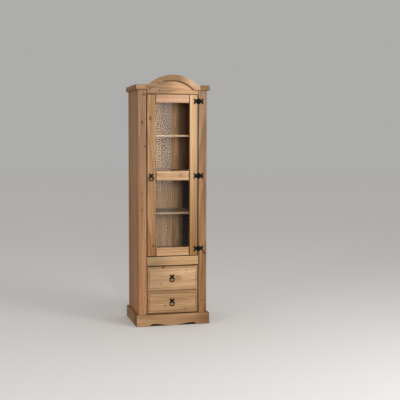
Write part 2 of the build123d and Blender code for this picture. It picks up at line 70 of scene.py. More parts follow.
def add_object(name, data):
    """A new object in the scene, made of the given data."""
    made = bpy.data.objects.new(name, data)
    scene.collection.objects.link(made)
    return made


print("parts:", len(nodes), "height:", round(cad_high.z, 4))

# %% [markdown]
# ## Camera
# The camera stands left of the cabinet at about head height and looks slightly down. Its
# place, turn and lens were solved from the corners of the cabinet in the photograph, so the
# render lines up with it.

# %% Place the camera
CAMERA_PLACE = Vector((-1.3813, -6.3818, 1.3912))
CAMERA_YAW = math.radians(14.41)
CAMERA_PITCH = math.radians(-4.129)
CAMERA_ROLL = math.radians(0.118)
CAMERA_LENS = 77.43

camera = add_object("camera", bpy.data.cameras.new("camera"))
camera.data.lens = CAMERA_LENS
camera.location = CAMERA_PLACE
turn = Matrix.Rotation(-CAMERA_YAW, 3, "Z")
turn @= Matrix.Rotation(math.radians(90) + CAMERA_PITCH, 3, "X")
turn @= Matrix.Rotation(CAMERA_ROLL, 3, "Z")
camera.rotation_euler = turn.to_euler()
scene.camera = camera
print("camera lens:", CAMERA_LENS)

# %% [markdown]
# ## A short way to write nodes
# Every finish below is a tree of nodes. This small helper adds a node, fills its sockets and
# hands back its output, so that a finish reads as a list of steps.


# %% Write node trees as steps
class Recipe:
    """Adds nodes to one tree and wires them together."""

    def __init__(self, tree):
        self.tree = tree

    def put(self, socket, value):
        if isinstance(value, bpy.types.NodeSocket):
            self.tree.links.new(value, socket)
        else:
            socket.default_value = value

    def node(self, kind, inputs=None, **settings):
        made = self.tree.nodes.new(kind)
        for name, value in settings.items():
            setattr(made, name, value)
        for name, value in (inputs or {}).items():
            self.put(made.inputs[name], value)
        return made

    def math(self, operation, *values):
        made = self.node("ShaderNodeMath", dict(enumerate(values)), operation=operation)
        return made.outputs[0]

    def times(self, first, *others):
        """The product of two numbers or more."""
        for other in others:
            first = self.math("MULTIPLY", first, other)
        return first

    def vector(self, operation, *values):
        made = self.node("ShaderNodeVectorMath", dict(enumerate(values)), operation=operation)
        number = operation in ("LENGTH", "DOT_PRODUCT")
        return made.outputs["Value" if number else "Vector"]

    def split(self, vector):
        return self.node("ShaderNodeSeparateXYZ", {"Vector": vector}).outputs

    def join(self, x, y, z):
        return self.node("ShaderNodeCombineXYZ", {"X": x, "Y": y, "Z": z}).outputs[0]

    def noise(self, position, stretch, detail=2.0, roughness=0.5):
        scaled = self.vector("MULTIPLY", position, stretch)
        inputs = {"Vector": scaled, "Scale": 1.0, "Detail": detail, "Roughness": roughness}
        return self.node("ShaderNodeTexNoise", inputs).outputs["Fac"]

    def smooth(self, value, low, high, to_low=0.0, to_high=1.0):
        inputs = {"Value": value, "From Min": low, "From Max": high}
        inputs |= {"To Min": to_low, "To Max": to_high}
        made = self.node("ShaderNodeMapRange", inputs, interpolation_type="SMOOTHSTEP")
        return made.outputs[0]

    def pick(self, chooser, first, second):
        """The first number where the chooser is 0, the second where it is 1."""
        step = self.times(self.math("SUBTRACT", second, first), chooser)
        return self.math("ADD", first, step)

    def mix(self, share, first, second, blend_type="MIX"):
        inputs = {"Factor": share, 6: first, 7: second}
        made = self.node("ShaderNodeMix", inputs, data_type="RGBA", blend_type=blend_type)
        return made.outputs[2]

    def stain(self, share, colour, stain):
        """A colour multiplied by a stain, as far as the share says."""
        return self.mix(share, colour, stain, "MULTIPLY")

    def darken(self, colour, amount):
        """A colour times one number that changes over the surface."""
        return self.stain(1.0, colour, self.join(amount, amount, amount))


# The kind of each socket goes by the type of its default. Geometry has none.
GEOMETRY = type(None)
SOCKETS = {
    float: "NodeSocketFloat",
    Vector: "NodeSocketVector",
    tuple: "NodeSocketColor",
    GEOMETRY: "NodeSocketGeometry",
}


def node_group(name, inputs, outputs, kind="ShaderNodeTree"):
    """An empty group with named sockets: its tree, its recipe, its inputs and its outputs."""
    tree = bpy.data.node_groups.new(name, kind)
    for label, default in inputs.items():
        sort = SOCKETS[type(default)]
        socket = tree.interface.new_socket(label, in_out="INPUT", socket_type=sort)
        if default is not None:
            socket.default_value = default
    for label, sort in outputs.items():
        tree.interface.new_socket(label, in_out="OUTPUT", socket_type=SOCKETS[sort])
    entry = tree.nodes.new("NodeGroupInput")
    leave = tree.nodes.new("NodeGroupOutput")
    return tree, Recipe(tree), entry.outputs, leave.inputs


def tone(red, green, blue):
    """A colour given in everyday 0 to 255 steps, as the shaders want it."""
    shares = [step / 255 for step in (red, green, blue)]
    linear = [s / 12.92 if s <= 0.04045 else ((s + 0.055) / 1.055) ** 2.4 for s in shares]
    return (*linear, 1.0)


print("middle grey:", round(tone(128, 128, 128)[0], 3))

# %% [markdown]
# ## Pine: the growth rings
# A board is a slice through a tree, so its figure is a cut through nested cones. Here each
# board has its own frame: X along the grain, Y across the face and Z through the thickness.
# The distance from the tree's heart, divided by the width of a year's growth, gives the rings.
# The heart wanders and the trunk tapers a little, and that alone draws straight lines on one
# board and arched ones on the next, with true end grain on the ends.


# %% Build the ring figure
def build_figure_group():
    tree, r, given, result = node_group(
        "pine_figure",
        {
            "Position": Vector(), "Seed": 0.0, "Heart Across": 0.0, "Heart Depth": 0.05,
            "Ring Gap": 0.006, "Taper": 0.02,
        },
        {"Late Wood": float, "Streaks": float, "Fibres": float},
    )
    shift = r.join(given["Seed"], r.times(given["Seed"], 0.37), given["Seed"])
    place = r.vector("ADD", given["Position"], shift)
    along, across, depth = r.split(given["Position"])

    wander = r.noise(place, (2.2, 6.0, 6.0), 2.0, 0.45)
    sway = r.times(r.math("SUBTRACT", wander, 0.5), 0.05)
    ripple = r.noise(place, (14.0, 90.0, 90.0), 1.0)
    shake = r.times(r.math("SUBTRACT", ripple, 0.5), 0.0035)
    aside = r.math("ADD", r.math("SUBTRACT", across, given["Heart Across"]), sway)
    below = r.math("ADD", r.math("SUBTRACT", depth, given["Heart Depth"]), shake)
    from_heart = r.vector("LENGTH", r.join(0.0, aside, below))
    radius = r.math("ADD", from_heart, r.times(along, given["Taper"]))
    year = r.math("FRACT", r.math("DIVIDE", radius, given["Ring Gap"]))
    slow = r.smooth(year, 0.35, 0.9)
    sharp = r.smooth(year, 0.92, 1.0, 1.0, 0.0)
    r.put(result["Late Wood"], r.times(slow, sharp))

    broad = r.smooth(r.noise(place, (1.4, 26.0, 26.0), 2.0, 0.5), 0.36, 0.64)
    narrow = r.smooth(r.noise(place, (2.4, 95.0, 95.0), 2.0, 0.6), 0.38, 0.62)
    r.put(result["Streaks"], r.math("MULTIPLY_ADD", narrow, 0.5, r.times(broad, 0.5)))
    r.put(result["Fibres"], r.noise(place, (22.0, 900.0, 900.0), 2.0))
    return tree


FIGURE = build_figure_group()
print("sockets of the figure:", [s.name for s in FIGURE.interface.items_tree])

# %% [markdown]
# ## Pine: the knots
# A knot is where a branch left the trunk. Its own rings are dark and reddish with a darker
# rim, and the grain of the board bends round it. The bend is made by moving the place at which
# the rings are looked up towards the knot's own line. One group puts a knot at a chosen place,
# and another strews knots of random size over a board, one to a cell. A branch that stays
# buried shows no heart, only a swirl, which a low Heart gives.


# %% Build the knots
KNOT_MASKS = {"Position": Vector, "Knots": float, "Rims": float}


def bend_round_knot(r, position, offset, size):
    """The bent position and the masks of a knot's heart and rim, from a point's offset."""
    dx, dy, _ = r.split(offset)
    least = r.math("MAXIMUM", size, 0.0005)
    reach = r.join(r.math("DIVIDE", dx, 2.6), r.math("DIVIDE", dy, 1.5), 0.0)
    far = r.math("DIVIDE", r.vector("LENGTH", reach), least)
    fade = r.math("EXPONENT", r.times(r.math("POWER", far, 2.0), -1.0))
    pull = r.times(dy, fade, -0.9)
    bent = r.vector("ADD", position, r.join(0.0, pull, 0.0))

    oval = r.join(r.math("DIVIDE", dx, 1.25), dy, 0.0)
    wobble = r.times(r.noise(position, (90.0, 90.0, 20.0), 2.0), 0.5)
    away = r.math("DIVIDE", r.vector("LENGTH", oval), least)
    away = r.math("SUBTRACT", r.math("ADD", away, wobble), 0.25)
    heart = r.smooth(away, 0.75, 1.1, 1.0, 0.0)
    inside = r.smooth(away, 0.55, 0.85)
    outside = r.smooth(away, 0.9, 1.25, 1.0, 0.0)
    return bent, heart, r.times(inside, outside)


def build_knot_group():
    tree, r, given, result = node_group(
        "pine_knot",
        {
            "Position": Vector(), "Place": Vector(), "Size": 0.008, "Heart": 1.0,
            "Knots": 0.0, "Rims": 0.0,
        },
        KNOT_MASKS,
    )
    offset = r.vector("SUBTRACT", given["Position"], given["Place"])
    bent, heart, rim = bend_round_knot(r, given["Position"], offset, given["Size"])
    r.put(result["Position"], bent)
    for label, mask in (("Knots", heart), ("Rims", rim)):
        mask = r.times(mask, given["Heart"])
        r.put(result[label], r.math("MAXIMUM", given[label], mask))
    return tree


def build_strewn_group():
    tree, r, given, result = node_group(
        "pine_strewn_knots",
        {
            "Position": Vector(), "Seed": 0.0, "Spacing": Vector((0.3, 0.08, 1.0)),
            "Share": 0.5, "Size": 0.009,
        },
        KNOT_MASKS,
    )
    grid = r.vector("DIVIDE", given["Position"], given["Spacing"])
    flat = r.vector("MULTIPLY_ADD", grid, (1.0, 1.0, 0.0), (100.0, 100.0, 0.0))
    corner = r.vector("FLOOR", flat)
    key = r.vector("ADD", corner, r.join(0.0, 0.0, given["Seed"]))
    chance = r.node("ShaderNodeTexWhiteNoise", {"Vector": key}, noise_dimensions="3D")
    spot = r.vector("MULTIPLY_ADD", chance.outputs["Color"], (0.5, 0.5, 0.0), (0.25, 0.25, 0.0))
    local = r.vector("SUBTRACT", flat, corner)
    offset = r.vector("MULTIPLY", r.vector("SUBTRACT", local, spot), given["Spacing"])
    present = r.math("LESS_THAN", chance.outputs["Value"], given["Share"])
    spread = r.math("MULTIPLY_ADD", r.split(chance.outputs["Color"])[2], 0.9, 0.35)
    size = r.times(given["Size"], spread, present)
    bent, heart, rim = bend_round_knot(r, given["Position"], offset, size)
    r.put(result["Position"], bent)
    r.put(result["Knots"], r.times(heart, present))
    r.put(result["Rims"], r.times(rim, present))
    return tree


KNOT = build_knot_group()
STREWN = build_strewn_group()
print("knot groups:", KNOT.name, STREWN.name)

# %% [markdown]
# ## Pine: boards glued edge to edge
# The sides, shelves and drawer fronts are wider than a small tree gives, so the real maker
# glues staves edge to edge. This group cuts the face into staves and shifts the figure in each,
# so the grain breaks at every glue line and no two staves match in tone.


# %% Build the staves
def build_stave_group():
    tree, r, given, result = node_group(
        "glued_staves",
        {"Position": Vector(), "Width": 0.09, "Offset": 0.0, "Seed": 0.0},
        {"Position": Vector, "Tone": float, "Seam": float},
    )
    along, across, depth = r.split(given["Position"])
    count = r.math("ADD", r.math("DIVIDE", across, given["Width"]), given["Offset"])
    index = r.math("FLOOR", r.math("ADD", count, 0.5))
    local = r.times(r.math("SUBTRACT", count, index), given["Width"])
    key = r.math("ADD", index, given["Seed"])
    chance = r.node("ShaderNodeTexWhiteNoise", {"W": key}, noise_dimensions="1D")
    reach, start = (3.0, 0.04, 0.06), (0.0, -0.02, -0.03)
    move = r.vector("MULTIPLY_ADD", chance.outputs["Color"], reach, start)
    moved = r.vector("ADD", r.join(along, local, depth), move)
    r.put(result["Position"], moved)
    r.put(result["Tone"], chance.outputs["Value"])
    half = r.times(given["Width"], 0.5)
    gap = r.math("SUBTRACT", half, r.math("ABSOLUTE", local))
    r.put(result["Seam"], r.smooth(gap, 0.0002, 0.0009, 1.0, 0.0))
    return tree


STAVES = build_stave_group()
print("staves:", STAVES.name)

# %% [markdown]
# ## Pine: nails in the back
# The back boards are nailed from behind, and each nail's flat head lies flush in the wood with
# a dark stain round it. So a nail is a mark in the finish and stands nowhere proud.


# %% Build the nail marks
def build_nail_group():
    tree, r, given, result = node_group(
        "flush_nails",
        {"Position": Vector(), "Along": 0.3, "Across": 0.05, "Radius": 0.0024},
        {"Heads": float, "Stain": float},
    )
    along, across, depth = r.split(given["Position"])
    rows = r.math("PINGPONG", along, r.times(given["Along"], 0.5))
    aside = r.math("SUBTRACT", r.math("ABSOLUTE", across), r.times(given["Across"], 0.5))
    away = r.vector("LENGTH", r.join(rows, aside, 0.0))
    edge = r.times(given["Radius"], 1.12)
    outer = r.times(given["Radius"], 2.2)
    behind = r.math("GREATER_THAN", depth, 0.0)
    head = r.smooth(away, given["Radius"], edge, 1.0, 0.0)
    stain = r.smooth(away, given["Radius"], outer, 1.0, 0.0)
    r.put(result["Heads"], r.times(head, behind))
    r.put(result["Stain"], r.times(stain, behind))
    return tree


NAILS = build_nail_group()
print("nails:", NAILS.name)

# %% [markdown]
# ## Pine: colour under the wax, with painted light and shade
# Late wood is darker and harder than the pale spring wood, so it stands a hair proud after
# sanding and shines a little more. The wax is dark and gathers in the fibres, in the joints
# and on end grain. Just inside the arrises, hands and cloths have rubbed it back, so the wood
# is paler and smoother there; that pale band is also a painted highlight on the rounded edges.
# The distance to an arris comes from the board's own size: it is the middle one of the three
# distances to its faces. The joint wax darkens the arrises over the Joint Width, with dark wax
# and with painted shade from the gaps between parts, and the edge wax darkens the narrow faces,
# which is painted shade inside those gaps. Each has one number for the low side, one for the
# high side and one for the ends. A drawer front also has dark wax and painted shade on its
# bevels, the shade mostly on the top bevel, and in the step at the foot of its raised field.


# %% Build the colour of the wood
PALE_STREAK = (1.2, 1.22, 1.24, 1.0)
HONEY_STREAK = (0.74, 0.66, 0.57, 1.0)
RUBBED_AND_HIGHLIGHT = (1.3, 1.32, 1.35, 1.0)
LATE_WOOD = (0.58, 0.51, 0.44, 1.0)
# Dark wax, and the colour of the painted shade in gaps, corners and bevels.
WAX_AND_SHADE = (0.14, 0.1, 0.07, 1.0)
BEVEL_WAX_AND_SHADE = (0.55, 0.45, 0.36, 1.0)
BARK = (0.35, 0.3, 0.3, 1.0)
ROUGHER = {"Late Wood": -0.07, "Fibres": 0.12, "Rubbed": -0.05, "Wax And Shade": 0.2, "Knots": -0.08}
PROUDER = {"Late Wood": 0.5, "Fibres": 0.45, "Knots": 0.6, "Seam": -0.8}


def build_finish_group():
    tree, r, given, result = node_group(
        "waxed_colour",
        {
            "Board Position": Vector(), "Half Size": Vector((1.0, 1.0, 1.0)),
            "Late Wood": 0.0, "Streaks": 0.0, "Fibres": 0.0,
            "Knots": 0.0, "Rims": 0.0, "Seam": 0.0, "Stave Tone": 0.5,
            "Base": (0.5, 0.4, 0.3, 1.0), "Contrast": 1.0, "Knot Tone": (0.2, 0.1, 0.05, 1.0),
            "Shine": 0.45, "Wear And Highlight": 0.3, "Joint Wax And Shade": Vector((0.5, 0.5, 0.5)),
            "Joint Width": Vector((0.003, 0.003, 0.003)), "Edge Wax And Shade": Vector((0.0, 0.0, 0.7)),
            "Field Inset": 0.0, "Bevel Wax And Shade": Vector(),
        },
        {"Color": tuple, "Roughness": float, "Height": float},
    )
    base, contrast = given["Base"], given["Contrast"]
    pale = r.stain(contrast, base, PALE_STREAK)
    honey = r.stain(contrast, base, HONEY_STREAK)
    late = r.stain(contrast, base, LATE_WOOD)
    body = r.mix(given["Streaks"], pale, honey)
    body = r.darken(body, r.math("MULTIPLY_ADD", given["Stave Tone"], 0.22, 0.89))
    body = r.mix(r.times(given["Late Wood"], 0.62), body, late)
    body = r.darken(body, r.smooth(given["Fibres"], 0.25, 0.75, 0.9, 1.1))

    board = given["Board Position"]
    reach = r.vector("SUBTRACT", given["Half Size"], r.vector("ABSOLUTE", board))
    end_gap, side_gap, face_gap = r.split(reach)
    least = r.math("MINIMUM", r.math("MINIMUM", end_gap, side_gap), face_gap)
    most = r.math("MAXIMUM", r.math("MAXIMUM", end_gap, side_gap), face_gap)
    total = r.vector("DOT_PRODUCT", reach, (1.0, 1.0, 1.0))
    middle = r.math("SUBTRACT", total, r.math("ADD", least, most))
    ragged = r.times(r.noise(board, (40.0, 40.0, 40.0), 3.0), 0.003)
    at_high = r.math("GREATER_THAN", r.split(board)[1], 0.0)
    at_end = r.math("LESS_THAN", end_gap, side_gap)

    def by_side(label):
        """The one of three numbers that holds for the nearest side: low, high or end."""
        low, high, ends = r.split(given[label])
        return r.pick(at_end, r.pick(at_high, low, high), ends)

    width = by_side("Joint Width")
    inner = r.math("ADD", width, 0.005)
    # The pale band inside the arrises: rubbed wear, and a painted highlight on the rounded edges.
    rubbed = r.smooth(r.math("ADD", middle, ragged), width, inner, 1.0, 0.0)
    body = r.stain(r.times(rubbed, given["Wear And Highlight"]), body, RUBBED_AND_HIGHLIGHT)

    # Dark arrises, narrow faces and ends: dark wax, and painted shade from the gaps between parts.
    arris = r.smooth(middle, r.times(width, 0.3), width, 1.0, 0.0)
    arris = r.times(arris, by_side("Joint Wax And Shade"))
    low, high, ends = r.split(given["Edge Wax And Shade"])
    edge = r.smooth(side_gap, 0.0002, 0.0007, 1.0, 0.0)
    edge = r.times(edge, r.pick(at_high, low, high))
    end = r.times(r.smooth(end_gap, 0.0003, 0.0012, 1.0, 0.0), ends)
    wax_and_shade_mask = r.math("MAXIMUM", r.math("MAXIMUM", edge, end), arris)
    body = r.stain(wax_and_shade_mask, body, WAX_AND_SHADE)

    # Drawer-front bevels and the step at the foot of the field: dark wax and painted shade.
    border = r.math("SUBTRACT", r.math("MINIMUM", end_gap, side_gap), given["Field Inset"])
    bevel = r.smooth(border, -0.0005, 0.0005, 1.0, 0.0)
    bevel = r.times(bevel, by_side("Bevel Wax And Shade"))
    body = r.stain(bevel, body, BEVEL_WAX_AND_SHADE)
    foot = r.smooth(r.math("ABSOLUTE", border), 0.0006, 0.0022, 0.25, 0.0)
    foot = r.times(foot, r.math("GREATER_THAN", given["Field Inset"], 0.0))
    body = r.stain(foot, body, WAX_AND_SHADE)

    bark = r.stain(1.0, given["Knot Tone"], BARK)
    body = r.mix(r.times(given["Knots"], 0.85), body, given["Knot Tone"])
    body = r.mix(r.times(given["Rims"], 0.6), body, bark)
    body = r.mix(r.times(given["Seam"], 0.5), body, bark)
    r.put(result["Color"], body)

    masks = {label: given[label] for label in ("Late Wood", "Fibres", "Knots", "Seam")}
    masks |= {"Rubbed": rubbed, "Wax And Shade": wax_and_shade_mask}

    def weighed(amount, weights):
        """A number with each mask added to it by its weight."""
        for label, weight in weights.items():
            amount = r.math("MULTIPLY_ADD", masks[label], weight, amount)
        return amount

    r.put(result["Roughness"], weighed(given["Shine"], ROUGHER))
    r.put(result["Height"], weighed(0.0, PROUDER))
    return tree


FINISH = build_finish_group()
print("colour group:", FINISH.name)

# %% [markdown]
# ## One board, one material
# A function makes the material of one board. It reads the board's box from the frame, so the
# rings lie true to that board, and takes the tone, the knots and the run of the grain that the
# photograph shows for it. A board may change tone along its length: `foot` is then its tone at
# the low end, and `blend` says where along the board the change lies, from -1 to 1. Its `lean`
# makes one long side paler than the other, and `variety` sets its staves further apart in tone.

# %% Make the material of a board
AXES = {"x": Vector((1, 0, 0)), "y": Vector((0, 1, 0)), "z": Vector((0, 0, 1))}
KNOT_TONE = tone(92, 54, 28)
NAIL_TONE = tone(74, 70, 66)
TRIM_DEPTH = 0.018
FRONT = cad_low.y + TRIM_DEPTH
ARCH_CENTRE = 1.5852
ARCH_INNER_RADIUS = 0.2259
CORNICE_BOTTOM = 1.74


def new_material(name):
    material = bpy.data.materials.new(name)
    material.use_nodes = True
    material.node_tree.nodes.clear()
    return material, Recipe(material.node_tree)


def fill_group(r, tree, inputs):
    made = r.node("ShaderNodeGroup", node_tree=tree)
    for name, value in inputs.items():
        r.put(made.inputs[name], value)
    return made.outputs


def close_material(r, shader):
    out = r.node("ShaderNodeOutputMaterial")
    r.put(out.inputs["Surface"], shader)


def coat(r, look, height, distance, strength):
    """Ends a solid material: its colour and shine, with a fine relief in its surface."""
    inputs = {"Height": height, "Distance": distance, "Strength": strength}
    bump = r.node("ShaderNodeBump", inputs)
    shader = r.node("ShaderNodeBsdfPrincipled", look | {"Normal": bump.outputs[0]})
    close_material(r, shader.outputs[0])


def paint(node, material):
    """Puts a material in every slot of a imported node."""
    slots = nodes[node].material_slots
    if not slots:
        nodes[node].data.materials.append(material)
    for slot in slots:
        slot.material = material


def knot(x, z, radius, heart=1.0):
    """A knot on the front of the cabinet: its place, its radius and how much heart shows."""
    return Vector((x, FRONT, z)), radius, heart


def add_figure(r, board, middle, to_board, seed, strewn, knots, stave):
    """Knots and staves on a board: the place to look up its rings, and the masks."""
    position, hearts, rims, seam, stave_tone = board, 0.0, 0.0, 0.0, 0.5
    if strewn:
        inputs = {"Position": position, "Seed": seed, "Share": strewn}
        position, hearts, rims = fill_group(r, STREWN, inputs)
    for place, radius, heart in knots:
        place = to_board @ (place - middle)
        place.z = 0
        inputs = {"Position": position, "Place": place, "Size": radius, "Heart": heart}
        position, hearts, rims = fill_group(r, KNOT, inputs | {"Knots": hearts, "Rims": rims})
    if stave:
        inputs = {"Position": position, "Width": stave, "Seed": seed}
        position, stave_tone, seam = fill_group(r, STAVES, inputs)
    return position, {"Knots": hearts, "Rims": rims, "Seam": seam, "Stave Tone": stave_tone}


def paint_arch_shadow(r, place, colour):
    """A painted shadow that the arch casts on the panel just below it, most of it on the right."""
    x, _, z = r.split(place)
    away = r.vector("LENGTH", r.join(x, 0.0, r.math("SUBTRACT", z, ARCH_CENTRE)))
    near = r.smooth(away, ARCH_INNER_RADIUS - 0.014, ARCH_INNER_RADIUS - 0.004)
    right = r.smooth(x, -0.09, 0.01, 0.0, 0.85)
    above = r.smooth(z, CORNICE_BOTTOM - 0.004, CORNICE_BOTTOM + 0.004)
    return r.stain(r.times(near, right, above), colour, WAX_AND_SHADE)


def pine(
    node, grain, across, seed, base, foot=None, blend=(-1.0, 1.0), lean=(1.0, 1.0), outside=None,
    heart=(0.0, 0.05), ring=0.0065, contrast=1.0, knots=(), strewn=0.0, stave=None, variety=1.0,
    joint=(0.5, 0.5, 0.5), joint_width=(0.003, 0.003, 0.003), edge=(0.0, 0.0, 0.7), show=None,
    field=0.0, bevel=(0.0, 0.0, 0.0), arch_shadow=False, nailed=False,
    shine=0.42, sheen=0.26, wear_and_highlight=0.35,
):
    """Gives a board its own pine.

    `show` is the half length that its neighbours leave open, and `outside` is the tone of the
    face that looks away from the room, which keeps no painted shade and no joint darkening.
    """
    low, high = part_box(node)
    middle = (low + high) / 2
    along, wide = AXES[grain], AXES[across]
    turn = Matrix((along, wide, along.cross(wide))).transposed()
    to_board = turn.transposed()
    half = Vector([abs(side) for side in to_board @ ((high - low) / 2)])
    half.x = show or half.x

    material, r = new_material(f"pine_{node}")
    coordinates = r.node("ShaderNodeTexCoord").outputs["Object"]
    mapping = r.node("ShaderNodeMapping", {"Vector": coordinates}, vector_type="TEXTURE")
    mapping.inputs["Location"].default_value = middle
    mapping.inputs["Rotation"].default_value = turn.to_euler()
    board = mapping.outputs[0]
    position, masks = add_figure(r, board, middle, to_board, seed, strewn, knots, stave)
    staves = r.math("MULTIPLY_ADD", masks["Stave Tone"], variety, 0.5 - 0.5 * variety)
    inputs = {"Position": position, "Seed": seed, "Ring Gap": ring}
    inputs |= {"Heart Across": heart[0], "Heart Depth": heart[1]}
    late_wood, streaks, fibres = fill_group(r, FIGURE, inputs)

    x, y, z = r.split(board)
    # Tone changes along the board; on some boards this is painted shade, and on the hinge stile a
    # painted sheen.
    share = r.smooth(x, blend[0] * half.x, blend[1] * half.x)
    colour = r.mix(share, tone(*(foot or base)), tone(*base))
    # The inner face keeps the board's tones, with any shade painted into them, and the joint
    # darkening; the outer face gets the plain outside tone.
    if outside:
        inner = r.math("LESS_THAN", z, 0.0)
        colour = r.mix(inner, tone(*outside), colour)
        joint = r.join(*[r.times(inner, wax) for wax in joint])
    # Lean darkens one long side; on the hinge stile and the right post it is painted shade.
    colour = r.darken(colour, r.smooth(y, -half.y, half.y, *lean))
    inputs = masks | {"Late Wood": late_wood, "Streaks": streaks, "Fibres": fibres}
    inputs |= {"Board Position": board, "Half Size": half, "Stave Tone": staves}
    inputs |= {"Base": colour, "Contrast": contrast, "Knot Tone": KNOT_TONE}
    inputs |= {"Joint Wax And Shade": joint, "Joint Width": joint_width, "Edge Wax And Shade": edge}
    inputs |= {"Field Inset": field, "Bevel Wax And Shade": bevel, "Shine": shine, "Wear And Highlight": wear_and_highlight}
    wood = fill_group(r, FINISH, inputs)

    colour, metal = wood["Color"], 0.0
    if arch_shadow:
        colour = paint_arch_shadow(r, coordinates, colour)
    if nailed:
        nails = fill_group(r, NAILS, {"Position": board})
        colour = r.mix(r.times(nails["Stain"], 0.6), colour, KNOT_TONE)
        colour = r.mix(nails["Heads"], colour, NAIL_TONE)
        metal = nails["Heads"]
    look = {"Base Color": colour, "Metallic": metal, "Roughness": wood["Roughness"]}
    coat(r, look | {"Specular IOR Level": sheen}, wood["Height"], 0.0004, 0.6)
    paint(node, material)


print("knot colour:", [round(c, 3) for c in KNOT_TONE])

# %% [markdown]
# ## Carcass
# The posts and the side panels run upright. The left post is a redder board with small knots,
# and the right one is a yellower board, as in the photograph. Rails, cornice and plinth lie on
# their side. The arch is brown on the left and turns pale towards its right shoulder.

# %% Finish the posts and sides
OPENING_HALF = 0.197
POST_KNOTS = [
    knot(-0.2133, 1.7043, 0.008),
    knot(-0.2281, 1.5033, 0.008),
    knot(-0.2083, 1.3292, 0.006),
    knot(-0.2337, 0.9915, 0.004),
    knot(-0.2299, 0.8645, 0.005),
]
pine(
    "front_post_left", "z", "x", 1.3, (157, 121, 94), (172, 125, 83),
    heart=(0.06, 0.09), knots=POST_KNOTS, joint=(0.9, 0.1, 0.5), wear_and_highlight=0.6,
)
# Its lean darkens it towards the right edge: painted shade.
pine(
    "front_post_right", "z", "x", 7.9, (160, 128, 98), (150, 112, 68),
    heart=(0.02, 0.12), ring=0.009, joint=(0.1, 0.4, 0.5), wear_and_highlight=0.6, lean=(1.04, 0.88),
    knots=[knot(0.2396, 0.5350, 0.0105), knot(0.2242, 0.1785, 0.0055)],
)
# The wide dark band along the back edge is painted shade from the wall.
for side, seed in (("left", 3.1), ("right", 4.6)):
    pine(
        f"side_panel_{side}", "z", "y", seed, (160, 122, 84), (164, 117, 78),
        stave=0.06, variety=1.7, strewn=0.28, shine=0.55, sheen=0.1, lean=(1.12, 0.94),
        joint=(0.2, 0.4, 0.8), joint_width=(0.003, 0.025, 0.003),
    )
# Darker towards its left end, painted shade; its pale lower edge is rubbed wear and a painted
# highlight.
pine(
    "drawer_rail", "x", "z", 5.5, (203, 165, 122), (167, 137, 101),
    blend=(-0.7, 0.2), heart=(0.09, 0.05), wear_and_highlight=0.9, show=OPENING_HALF,
    joint=(0.0, 0.8, 1.0), joint_width=(0.003, 0.003, 0.007),
)
pine(
    "base_rail", "x", "z", 6.1, (130, 98, 66),
    joint=(0.5, 1.0, 0.5), joint_width=(0.003, 0.008, 0.003), edge=(0.0, 1.0, 0.7),
)
print("posts and sides done")

# %% Finish the cornice and the plinth
# The shadow of the arch on this panel is painted into its colour.
pine(
    "pediment_panel", "x", "z", 8.4, (213, 171, 127), (157, 124, 92),
    blend=(-0.4, 0.35), heart=(-0.02, 0.06), arch_shadow=True, show=OPENING_HALF,
    joint=(0.6, 0.5, 1.0), joint_width=(0.003, 0.003, 0.007),
    knots=[knot(-0.0988, 1.7383, 0.005)],
)
pine(
    "cornice_arch", "x", "z", 9.7, (209, 171, 135), (149, 115, 79),
    blend=(0.2, 0.75), heart=(-0.09, 0.07), joint=(0.8, 0.3, 0.1), edge=(0.5, 0.0, 0.1),
    knots=[knot(-0.066, 1.8025, 0.006), knot(-0.048, 1.8075, 0.005), knot(-0.11, 1.7925, 0.004)],
)
BLOCK = {"joint": (0.7, 0.5, 0.1), "edge": (0.0, 0.0, 1.0)}
pine("cornice_block_left", "x", "z", 10.2, (158, 124, 86), **BLOCK)
pine("cornice_block_right", "x", "z", 11.8, (136, 104, 70), **BLOCK)
for side, seed in (("left", 11.2), ("right", 12.8)):
    pine(
        f"cornice_return_{side}", "y", "z", seed, (156, 118, 82),
        heart=(0.05, 0.06), shine=0.55, sheen=0.1,
        joint=(0.6, 0.5, 1.0), joint_width=(0.004, 0.004, 0.006),
    )
    pine(
        f"plinth_side_{side}", "y", "z", seed + 1, (156, 118, 80), (128, 92, 60),
        blend=(-1.0, -0.3), heart=(0.06, 0.06), shine=0.55, sheen=0.1,
        joint=(0.5, 0.9, 1.0), joint_width=(0.004, 0.004, 0.006),
    )
# Darker towards its right end: painted shade.
pine(
    "plinth_front", "x", "z", 12.6, (137, 104, 66), (172, 136, 96),
    blend=(0.4, 1.0), heart=(0.07, 0.05), edge=(0.0, 0.0, 1.0),
)
print("cornice and plinth done")

# %% [markdown]
# ## Door
# The frame's stiles run upright between its three rails. The hinge stile is the palest board of
# all, with a painted sheen that grows towards its top and painted shade towards its right edge,
# and the lock stile is more yellow. The door's outer edges are dark with wax and with painted
# shade from the gaps, which draws the crisp lines round it.

# %% Finish the door
GLASS_HALF = 0.128
pine(
    "door_stile_lock", "z", "x", 14.2, (169, 131, 90), (147, 103, 62),
    blend=(-1.0, -0.3), heart=(-0.03, 0.1), edge=(0.8, 0.0, 0.7),
    joint=(1.0, 0.5, 1.0), joint_width=(0.008, 0.003, 0.008),
    knots=[knot(-0.1682, 1.5327, 0.012, 0.7), knot(-0.1481, 0.5954, 0.008, 0.8)],
)
